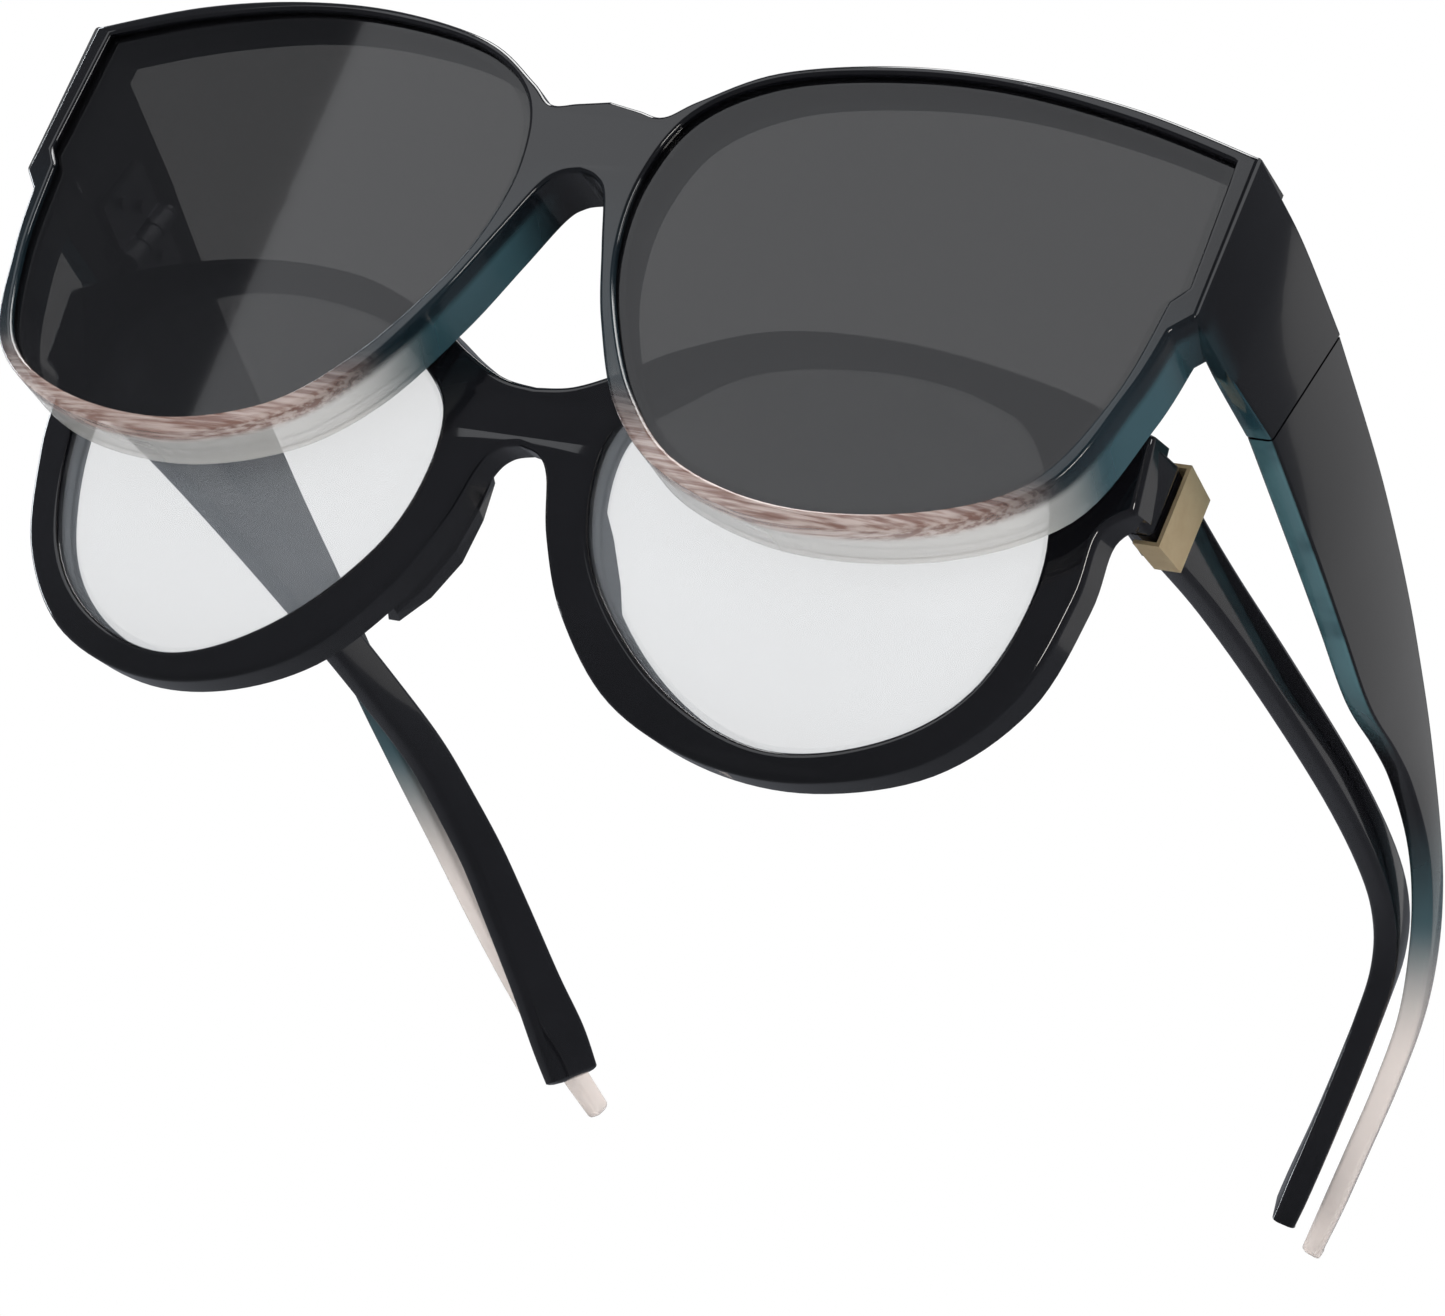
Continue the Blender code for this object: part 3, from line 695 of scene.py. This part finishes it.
def slab(outer, inner, top, bottom, ease):
    """Rounded rectangle in x and z: four corner arcs, radius the ease, run round once."""
    centres = np.array([(outer - ease, top - ease), (inner + ease, top - ease),
                        (inner + ease, bottom + ease), (outer - ease, bottom + ease)])
    starts = np.radians([0, 90, 180, 270])
    arc = np.linspace(0, math.pi / 2, CORNER_TURNS + 1)
    loops = [c + ease * np.stack([np.cos(s + arc), np.sin(s + arc)], axis=1)
             for c, s in zip(centres, starts)]
    return np.vstack(loops)


def bar(name, rings, to_table, finish, body, node):
    """Rings joined in turn, with the two ends filled."""
    rows, count = len(rings), len(rings[0])
    faces = grid_faces(rows, count).tolist()
    faces += [tuple(range(count)), tuple(range((rows - 1) * count, rows * count))]
    return new_piece(name, to_table(np.vstack(rings)), faces, finish, body, (node,))


# %% [markdown]
# A temple leaves its seam straight back, then bends down behind the ear and in towards the head. Its
# section turns with both bends, so the slab keeps its thickness round them. The tip is eased off in
# three shrinking rings.

# %% Temples
SUN_SEAM = 33.2
SPEC_SEAM = 16.4
SEAM_GAP = 0.15
PER_SPAN = 6
# how far past the last ring, and how large beside it
TIP_RINGS = ((0.35, 0.93), (0.65, 0.78), (0.85, 0.5))
# distance back, outer face, top, bottom, thickness
SUN_TEMPLE = [
    (SUN_SEAM, 77.0, -6.2, -23.3, 3.2), (50.0, 77.3, -6.4, -22.4, 3.2), (62.0, 76.9, -6.5, -21.2, 3.1),
    (74.0, 76.1, -6.7, -19.6, 3.0), (84.0, 75.2, -7.1, -16.2, 2.9), (92.0, 74.3, -7.5, -13.9, 2.8),
    (103.0, 73.0, -8.4, -12.5, 2.7), (112.0, 71.6, -9.3, -13.0, 2.6), (121.0, 69.5, -10.6, -14.2, 2.6),
    (130.0, 66.6, -12.7, -16.0, 2.5), (139.0, 62.6, -15.8, -18.9, 2.5), (148.0, 58.0, -18.9, -21.9, 2.5),
    (156.0, 53.8, -21.1, -23.9, 2.5), (162.0, 50.4, -22.7, -25.1, 2.3)]
SPEC_TEMPLE = [
    (SPEC_SEAM, 69.9, -6.1, -14.6, 3.4), (24.0, 70.0, -6.9, -13.9, 3.4), (36.0, 70.0, -7.4, -12.9, 3.3),
    (54.0, 69.8, -7.4, -12.4, 3.2), (76.0, 69.3, -7.6, -12.5, 3.1), (92.0, 68.3, -8.5, -13.4, 3.0),
    (102.0, 66.8, -10.0, -14.9, 3.0), (109.0, 64.8, -12.6, -17.6, 3.0), (115.0, 61.9, -16.2, -21.4, 3.0),
    (121.0, 58.6, -21.0, -26.6, 3.0), (127.0, 55.1, -26.2, -32.2, 3.0), (131.5, 52.3, -30.0, -36.8, 3.0),
    (134.6, 50.2, -33.4, -40.0, 2.8)]


def temple_rings(rows, side, ease):
    """Slabs square to the temple's run in plan, and to its fall in side view behind the seam."""
    table = np.vstack([through(rows, PER_SPAN), np.array([rows[-1]], float)])
    step = np.gradient(table, axis=0)
    rings = []
    for i, (y, outer, top, bottom, thick) in enumerate(table):
        dy, dx, dt, db = step[i, :4]
        run = math.hypot(dx, dy)
        fall = math.atan2((dt + db) / 2, run) * min(1.0, i / (2 * PER_SPAN))
        cross = dx / run * min(1.0, i / PER_SPAN)
        straight = math.sqrt(1 - cross * cross)
        middle = (top + bottom) / 2
        loop = slab(0.0, -thick, top - middle, bottom - middle, ease)
        off, high = loop[:, 0], loop[:, 1]
        behind = -high * math.sin(fall)
        rings.append(np.stack([side * (outer + off * straight + behind * cross),
                               max(y, rows[0][0] + SEAM_GAP) - off * cross + behind * straight,
                               middle + high * math.cos(fall)], axis=1))
    last = rings[-1]
    heart = last.mean(axis=0)
    return rings + [heart + (last - heart) * size + (0, push, 0) for push, size in TIP_RINGS]


# %% [markdown]
# The side panel runs back from the front's corner to the seam where its temple starts, and the
# spectacles have a short end piece in the same place. The first ring follows the curved front, and
# the last one is square to the seam.

# %% Corners
# share of the way to the seam, outer face, thickness, top, bottom
SUN_PANEL_END = (1.0, 77.0, 3.2, -6.2, -23.3)
SUN_PANEL = through([(0.0, 74.6, 1.1, -7.4, -26.1), (0.2, 75.3, 2.0, -7.1, -25.9),
                     (0.5, 76.2, 2.6, -6.6, -25.4), SUN_PANEL_END], PER_SPAN).tolist() + [SUN_PANEL_END]
SPEC_END_PIECE = [(0.0, 69.3, 4.5, -6.8, -14.4), (1.0, 69.9, 3.4, -6.1, -14.6)]
SUN_LAP = 0.02
SPEC_LAP = 0.5


def corner_rings(stations, shape, seam, lap, side, ease):
    """Slabs from the front's corner (share 0) straight back to the seam (share 1)."""
    rings = []
    for share, outer, thick, top, bottom in stations:
        loop = slab(outer, outer - thick, top, bottom, ease)
        on_front = np.stack([np.full(len(loop), stations[0][1]), loop[:, 1]], axis=1)
        face = front_surface(on_front, lap, *shape)[:, 1]
        rings.append(np.stack([side * loop[:, 0], (1 - share) * face + share * (seam - SEAM_GAP),
                               loop[:, 1]], axis=1))
    return rings


# %% Both sides of both pairs
SIDES = (("left", -1.0), ("right", 1.0))

for word, side in SIDES:
    bar(f"sun_side_panel_{word}", corner_rings(SUN_PANEL, SUN_SHAPE, SUN_SEAM, SUN_LAP, side, 0.4),
        from_sun, shell, "sun_front", "sun_front")
    bar(f"spectacle_corner_{word}",
        corner_rings(SPEC_END_PIECE, SPEC_SHAPE, SPEC_SEAM, SPEC_LAP, side, 0.5),
        from_spec, acetate, "spectacles_front", "spec_front")
    bar(f"sun_arm_{word}", temple_rings(SUN_TEMPLE, side, 0.6), from_sun, temple_dye,
        f"sun_temple_{word}", f"sun_temple_{word}")
    bar(f"spectacle_arm_{word}", temple_rings(SPEC_TEMPLE, side, 0.8), from_spec, acetate,
        f"spec_temple_{word}", f"spec_temple_{word}")

# %% [markdown]
# A lens is a thin shell of the same curve as its front, a little larger than the opening, so that
# its edge sits in the groove. A filled outline would shade in patches, so it is made of rings that
# shrink to its middle, and its gloss is smooth. The outer rings carry the rim attribute.

# %% Lens pieces
EDGE_IN_GROOVE = 0.25
LENS_PLAY = 0.3
INNER_RINGS = 18
RING_SHARES = np.append(np.linspace(0.04, 0.95, INNER_RINGS), (0.965, 1.0))
OUTER_RINGS = 2 * (len(RING_SHARES) - INNER_RINGS)


def lens_piece(name, opening, side, shape, mould, to_table, finish, body, node):
    """Each ring is middle + (edge - middle) k, laid on the front surface before and behind."""
    edge = grown(opening, EDGE_IN_GROOVE)
    if side < 0:
        edge = mirrored(edge)
    heart = edge.mean(axis=0)
    lip, seat = mould[:2]
    flat = [heart + (edge - heart) * k for k in RING_SHARES]
    rings = [front_surface(loop, lip + LENS_PLAY, *shape) for loop in flat]
    rings += [front_surface(loop, lip + seat - LENS_PLAY, *shape) for loop in flat[::-1]]
    piece = bar(name, rings, to_table, finish, body, node)
    share = [0.0] * INNER_RINGS + [1.0] * OUTER_RINGS + [0.0] * INNER_RINGS
    rim = piece.data.attributes.new("rim", 'FLOAT', 'POINT')
    rim.data.foreach_set("value", np.repeat(share, len(edge)).astype(np.float32))


for word, side in SIDES:
    lens_piece(f"smoke_lens_{word}", SUN_OPENING, side, SUN_SHAPE, SUN_MOULD, from_sun, smoke,
               "sun_front", f"sun_lens_{word}")
    lens_piece(f"clear_lens_{word}", SPEC_OPENING, side, SPEC_SHAPE, SPEC_MOULD, from_spec, coated,
               "spectacles_front", f"spec_lens_{word}")

# %% [markdown]
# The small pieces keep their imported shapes, because a leaf, a screw or a rivet a millimetre across
# gains nothing from a new mesh. They only take a real finish: satin steel on leaves, screws and
# rivets, gold on the trims, and polished black on the nose pads.

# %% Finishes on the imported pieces
WEARS = {"trim": gold, "leaf": steel, "screw": steel, "rivet": steel, "pad": acetate}

for name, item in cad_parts.items():
    for word, wear in WEARS.items():
        if word in name:
            for entry in item.material_slots:
                entry.material = wear.material
print("packed pieces", len(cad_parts))
